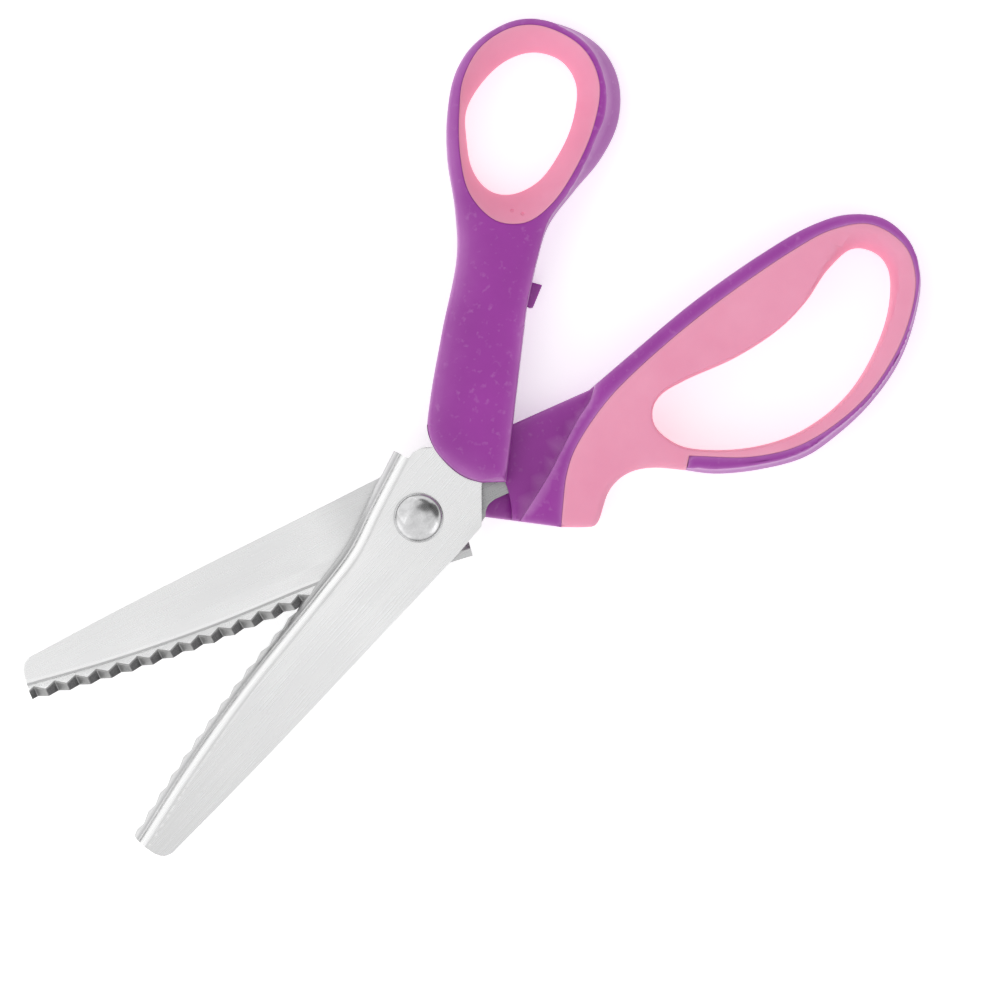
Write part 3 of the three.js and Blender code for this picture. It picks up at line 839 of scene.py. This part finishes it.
def flange_columns(height):
    """Section of the flange, from the plate's top round to its underside, for a rim at some height: out from
    the fold line, and height."""
    outer = [(FOLD_RADIUS * math.sin(a), PLATE_TOP - FOLD_RADIUS * (1 - math.cos(a)))
             for a in np.linspace(0, FOLD, 9)]
    inner = [(FOLD_INSIDE * math.sin(a), PLATE_BOTTOM - FOLD_INSIDE * (1 - math.cos(a)))
             for a in np.linspace(FOLD, 0, 6)]
    slope, steep = 1 / math.tan(FOLD), 1 / math.tan(RIM_ANGLE)
    knee_z = MID + RIM_STEEPENS
    knee = outer[-1][0] + (outer[-1][1] - knee_z) * slope
    rim_out = knee + (knee_z - height) * steep
    rim_in = inner[0][0] + (inner[0][1] - height) * slope
    side_face = [(knee, knee_z), (rim_out - RIM_BREAK * steep, height + RIM_BREAK)]
    rim = [(rim_out - RIM_BREAK, height), (rim_in + RIM_BREAK, height)]
    return outer + side_face + rim + [(rim_in - RIM_CHAMFER * slope, height + RIM_CHAMFER)] + inner


# Painted shade (above 0) and painted highlight (below 0) bands across the flange, one value for each of its
# columns
FLANGE_SHADE = [0.3, 0.12, -0.3, -0.8, -0.8, -0.3, 0.05, 0.35, 0.8, 0.35, 0.55, 0.0, 0.0,
                -0.9, -0.7, 0.0, 0.45, 0.7, 0.7, 0.4]
TIP_FACING = -1.0  # the same for the tooth faces that look to the tip, which get a painted highlight
RIM_COLUMNS = slice(11, 13)
GROUND_COLUMNS = (10, 11, 12)  # strips of faces with the rim's ground finish
HEEL_ROWS, HEEL_SHADE = 9, 0.4  # rows at the flange's heel, with painted shade all across on the lower blade


def flange(flare, side):
    """The folded flange as a strip of quads from the tip to the heel: the fold line, its points, its
    faces, which of them are ground, and each point's painted shade and highlight. side is 1 for the upper
    blade's teeth and -1 for the lower's."""
    base, direction, toothed = stations(flare)
    r = np.linalg.norm(base, axis=1)
    rows = []
    for i, (p, d) in enumerate(zip(base, direction)):
        level = MID + RIM_CLEAR + (side * float(zigzag(r[i])) if i < toothed else 0.0)
        row = []
        for w, z in flange_columns(level):
            q = p + d * w
            if i < toothed:
                q = q * (r[i] / np.linalg.norm(q))
            row.append((q[0], q[1], z))
        rows.append(row)
    width = len(rows[0])
    verts = [v for row in rows for v in row]
    faces, ground = [], []
    for i in range(len(rows) - 1):
        for j in range(width - 1):
            faces.append((i * width + j, i * width + j + 1, (i + 1) * width + j + 1, (i + 1) * width + j))
            ground.append(i < toothed and j in GROUND_COLUMNS)
    for start in (0, (len(rows) - 1) * width):
        for j in range(width // 2 - 1):
            faces.append((start + j, start + j + 1, start + width - 2 - j, start + width - 1 - j))
            ground.append(False)
    # painted shade and highlight bands across the flange
    shade = np.tile(FLANGE_SHADE, (len(rows), 1))
    # painted highlight on every other tooth face, those that look to the tip
    facet = np.floor((LAST_CREST - r[:toothed]) / TOOTH_PITCH * 2)
    shade[:toothed, RIM_COLUMNS] = TIP_FACING * (facet % 2)[:, None]
    # painted shade on the lower blade's heel rows
    if side < 0:
        shade[-HEEL_ROWS:] = HEEL_SHADE
    return base, verts, faces, ground, shade.ravel()


BEND_BAND = 0.4  # width of the painted shade strip beside the fold on the outer face, and how far from the fold the inner face's painted highlight is brightest


def plate_shade(x, bend, over):
    """Painted shade (above 0) and painted highlight (below 0) on the plate's outer and inner face, from the
    place along the blade and the distance from the fold."""
    # outer face: painted shade towards the tip, painted highlight a little before the pivot
    outside = np.interp(x, (-100, -40, -25, -5), (0.25, 0.0, -0.4, 0.0))
    # and painted shade in the strip beside the fold
    outside = np.where(bend < BEND_BAND, 0.3 * (1 - bend / BEND_BAND), outside)
    # inner face: painted shade right at the fold, then a painted highlight band
    inside_fold = np.where(bend < 0.08, 0.4, -0.45 * np.exp(-((bend - BEND_BAND) / 0.25) ** 2))
    if over:
        # lower blade: painted shade on the tang and near the crossing, painted highlight further out
        neck = 0.8 * np.clip((x - 12.5) / 1.5, 0, 1)
        crossing = np.interp(x, (-60, -14), (-0.95, 0.24))
        inside_fold = np.where(bend < 0.9, inside_fold, np.maximum(neck, crossing))
    return outside, inside_fold


def blade(name, flare, heel, side, half, turn, over, node):
    """One blade: the plate with its bore and tang, and the flange welded on along the fold line. over
    turns it upside down, as the lower blade lies."""
    base, flange_verts, flange_faces, ground, flange_shade = flange(flare, side)
    tip = spline(TIP, False, 0.7)
    spine = spline(SPINE, False, 2.0)
    outer = ccw(chain(base, heel, spine, tip))
    bore = circle(BORE_RADIUS, 0, 360, 0.5)[:-1]
    flat, tri = triangles(outer, [bore], [], (0.04, 0.1, 0.4, 0.9, 1.8), 5.0)
    bend = distance(flat, base, closed=False)[0]
    edge = chain(base[-1:], heel, spine, tip)
    to_edge = np.minimum(distance(flat, edge, closed=False)[0], distance(flat, bore, closed=True)[0])
    drop = rounding(to_edge, 0.1) * (bend > TOUCHING)
    verts, faces = relief(flat, tri, lambda p: np.column_stack([p, PLATE_TOP - drop]),
                          lambda p: np.column_stack([p, PLATE_BOTTOM + drop]), no_rings,
                          open_edge=lambda p: distance(p[None, :], base, closed=False)[0][0] < TOUCHING)
    finish = [False] * len(faces) + ground
    count = len(verts)
    faces += [tuple(i + count for i in f) for f in flange_faces]
    verts = np.vstack([verts, flange_verts])
    if over:
        verts = verts * (1, -1, -1) + (0, 0, HEIGHT)
    shade = np.concatenate([*plate_shade(flat[:, 0], bend, over), flange_shade])
    obj = body(name, verts, faces, STEEL, sharp=30, turn=turn, attributes={"shade": shade},
               second=(GROUND, finish))
    return place(obj, half, [node], "blade_steel")


def upper_blade():
    heel = chain(spline(UPPER_SHOULDER, False, 0.8), spline(UPPER_TANG_END, False, 1.2),
                 np.array(UPPER_TANG_SIDE))
    turn = REST_OPENING + BLADE_SET
    return blade("upper_blade_steel", UPPER_FLARE, heel, 1, THUMB, turn, False, "upper_blade")


def lower_blade():
    heel = chain(np.array(LOWER_SHOULDER), spline(LOWER_NECK, False, 0.5), np.array(LOWER_TANG_SIDE),
                 spline(LOWER_TANG_END, False, 1.0), np.array(LOWER_TANG_BACK))
    return blade("lower_blade_steel", LOWER_FLARE, heel, -1, FINGER, BLADE_SET, True, "lower_blade")


# ---------------------------------------------------------------- pivot

ROUND_STEPS = 96  # points round a turned piece


def turned(name, profile, material, sharp=30):
    """A ring or plug about the pivot axis, from (radius, height) pairs that close on the axis or on
    themselves."""
    verts, faces = [], []
    closed = profile[0] == profile[-1]
    rows = profile[:-1] if closed else profile
    for r, z in rows:
        for k in range(ROUND_STEPS):
            a = 2 * math.pi * k / ROUND_STEPS
            verts.append((r * math.cos(a), r * math.sin(a), z))
    pairs = [(i, (i + 1) % len(rows)) for i in range(len(rows) if closed else len(rows) - 1)]
    for i, j in pairs:
        row, beyond = i * ROUND_STEPS, j * ROUND_STEPS
        for k in range(ROUND_STEPS):
            n = (k + 1) % ROUND_STEPS
            faces.append((row + k, row + n, beyond + n, beyond + k))
    return body(name, np.array(verts), faces, material, sharp=sharp)


ON_AXIS = 0.001  # radius of a profile's ends, small enough to be welded


def pivot_rivet():
    """The rivet in one piece: flat peened tail at the bottom, shank, and a domed head on the plate."""
    seat = PLATE_TOP + GAP
    tail_z, tail_r = 1.1, 4.6
    dome = HEAD_TOP - seat - 0.4
    profile = [(ON_AXIS, 0), (tail_r - 0.35, 0), (tail_r - 0.1, 0.1), (tail_r, 0.35), (tail_r, tail_z),
               (SHANK_RADIUS, tail_z), (SHANK_RADIUS, seat), (HEAD_RADIUS - 0.12, seat),
               (HEAD_RADIUS, seat + 0.1), (HEAD_RADIUS, seat + 0.28)]
    for a in np.linspace(0, math.pi / 2, 15):
        out = (HEAD_RADIUS - 0.1) * math.cos(a) ** 0.9
        profile.append((max(out, ON_AXIS), seat + 0.4 + dome * math.sin(a)))
    obj = turned("domed_rivet", profile, RIVET, sharp=40)
    return place(obj, FINGER, ["pivot_rivet"], "rivet_steel")


def ring(name, node, material, half, slot):
    """A washer or bush with broken edges, in the place of its CAD node."""
    low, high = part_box(node)
    inner, outer, bottom, top = BORE_RADIUS, high.x / MM, low.z / MM, high.z / MM
    c = 0.1
    profile = [(inner + c, bottom), (outer - c, bottom), (outer, bottom + c), (outer, top - c),
               (outer - c, top), (inner + c, top), (inner, top - c), (inner, bottom + c), (inner + c, bottom)]
    return place(turned(name, profile, material), half, [node], slot)


# ---------------------------------------------------------------- the object

thumb_handle()
thumb_grip()
finger_handle()
finger_grip()
upper_blade()
lower_blade()
pivot_rivet()
ring("washer_under_tail", "tail_washer", WASHER, FINGER, "washer_steel")
ring("spacer_bush", "pivot_bush", WASHER, FINGER, "washer_steel")
ring("thrust_ring_lower", "lower_thrust_washer", NYLON, FINGER, "nylon")
ring("thrust_ring_upper", "upper_thrust_washer", NYLON, THUMB, "nylon")


# ---------------------------------------------------------------- stage
# Directions here are in the picture's frame: right, up, towards the viewer.

IMAGE_TURN = math.radians(-24)  # the picture's right-hand direction in the part's frame
VIEW_CENTRE = Vector((19.2, -4.0, 0)) * MM
VIEW_WIDTH = 236 * MM
CAMERA_HEIGHT = 1.3
ZENITH, HORIZON = 0.975, 0.08  # brightness of the tent overhead and of the dark room behind it
DARK_GAPS = [((0.15, 0.43, 0.89), 0.82), ((0.62, 0.30, 0.74), 0.85)]  # where the tent is open, how dark
KEY = (-0.50, 0.44, 0.74)  # where the key light hangs, which hides most of the tent behind it
SIDE_PANEL = (-0.75, -0.60, 0.28)  # pale wall to the left, low down
PANEL_GLOW, BEHIND_KEY = 0.55, 0.4
# Cosines of the angles from its middle at which each patch of the sky begins and is at its full
TENT_EDGE, PANEL_EDGE, KEY_EDGE, GAP_EDGE = (-0.05, 0.62), (0.75, 0.98), (0.83, 0.93), (0.935, 0.968)
FLOOR_SIZE_M, FLOOR_DROP_M = 4.0, 0.0002  # half its width, and how far under the object it lies
FLOOR_GLOW = 0.42  # its own light, which keeps it pale


def in_part_frame(direction):
    """A direction in the picture's frame as a unit vector in the part's."""
    return Matrix.Rotation(IMAGE_TURN, 3, "Z") @ Vector(direction).normalized()


def floor():
    """A pale floor just under the object."""
    size, z = FLOOR_SIZE_M, -FLOOR_DROP_M
    corners = [(-size, -size, z), (size, -size, z), (size, size, z), (-size, size, z)]
    mesh = bpy.data.meshes.new("floor")
    mesh.from_pydata(corners, [], [(0, 1, 2, 3)])
    obj = add_object("floor", mesh)
    m = Nodes("pale_floor")
    speckle = m.noise((40, 40, 40), detail=2)
    m.set(Base_Color=m.mix(speckle, (0.95, 0.95, 0.95, 1), (0.97, 0.97, 0.97, 1)), Roughness=0.9,
          Specular_IOR_Level=0.2, Emission_Color=(1, 1, 1, 1), Emission_Strength=FLOOR_GLOW)
    mesh.materials.append(m.material)


def camera():
    """Straight above the object, turned so that the picture's sides are upright."""
    data = bpy.data.cameras.new("camera")
    obj = add_object("camera", data)
    data.sensor_width = 36
    data.lens = 36 * (CAMERA_HEIGHT - MID * MM) / VIEW_WIDTH
    data.clip_end = 50
    obj.location = VIEW_CENTRE + Vector((0, 0, CAMERA_HEIGHT))
    obj.rotation_euler = (0, 0, IMAGE_TURN)
    bpy.context.scene.camera = obj


def softbox(name, direction, distance_m, size, energy):
    """A square area light that looks at the middle of the view."""
    data = bpy.data.lights.new(name, "AREA")
    data.shape = "SQUARE"
    data.size = size
    data.energy = energy
    obj = add_object(name, data)
    spot = in_part_frame(direction)
    obj.location = VIEW_CENTRE + spot * distance_m
    obj.rotation_euler = spot.to_track_quat("Z", "Y").to_euler()


def sky():
    """A white tent overhead with two dark gaps, which falls off to a dark room at the horizon."""
    world = bpy.data.worlds.new("tent")
    bpy.context.scene.world = world
    world.use_nodes = True
    tree = world.node_tree
    where = tree.nodes.new("ShaderNodeTexCoord").outputs["Generated"]

    def ramp(value, low, high, out_low, out_high):
        node = tree.nodes.new("ShaderNodeMapRange")
        node.interpolation_type = "SMOOTHSTEP"
        tree.links.new(value, node.inputs["Value"])
        set_range(node, low, high, out_low, out_high)
        return node.outputs["Result"]

    def towards(direction):
        node = tree.nodes.new("ShaderNodeVectorMath")
        node.operation = "DOT_PRODUCT"
        tree.links.new(where, node.inputs[0])
        node.inputs[1].default_value = in_part_frame(direction)
        return node.outputs["Value"]

    def combine(operation, a, b):
        node = tree.nodes.new("ShaderNodeMath")
        node.operation = operation
        tree.links.new(a, node.inputs[0])
        tree.links.new(b, node.inputs[1])
        return node.outputs[0]

    light = ramp(towards((0, 0, 1)), *TENT_EDGE, HORIZON, ZENITH)
    light = combine("ADD", light, ramp(towards(SIDE_PANEL), *PANEL_EDGE, 0.0, PANEL_GLOW))
    light = combine("MULTIPLY", light, ramp(towards(KEY), *KEY_EDGE, 1.0, BEHIND_KEY))
    for direction, darkness in DARK_GAPS:
        light = combine("MULTIPLY", light, ramp(towards(direction), *GAP_EDGE, 1.0, 1 - darkness))
    tree.nodes["Background"].inputs["Color"].default_value = (1, 1, 1, 1)
    tree.links.new(light, tree.nodes["Background"].inputs["Strength"])


bpy.context.scene.view_settings.view_transform = "Standard"
floor()
camera()
sky()
softbox("key", KEY, 1.4, 1.5, 4.7)
softbox("fill", (0.62, -0.42, 0.66), 1.5, 0.7, 0.9)
